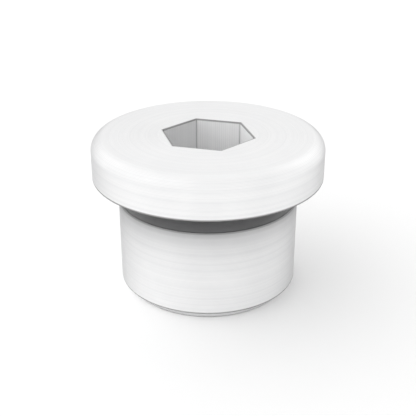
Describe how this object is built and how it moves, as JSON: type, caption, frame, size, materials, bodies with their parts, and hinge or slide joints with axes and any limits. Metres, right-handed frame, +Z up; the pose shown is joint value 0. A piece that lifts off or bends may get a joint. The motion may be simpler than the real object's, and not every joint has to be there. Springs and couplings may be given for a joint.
{
  "type": "hex socket plug",
  "caption": "Collared screw plug with a hexagon socket, a rounded collar edge, an undercut below the collar and a plain shank with a chamfered end.",
  "frame": {"origin": "centre of the shank's end face, which the plug stands on", "axes": "+Z up the plug's axis, out of the hexagon socket's mouth; two corners of the hexagon lie on X"},
  "size_m": [0.023, 0.023, 0.016],
  "materials": {
    "plated_steel": "satin"
  },
  "bodies": {
    "root": {"plug_body": "plated_steel"}
  },
  "joints": []
}
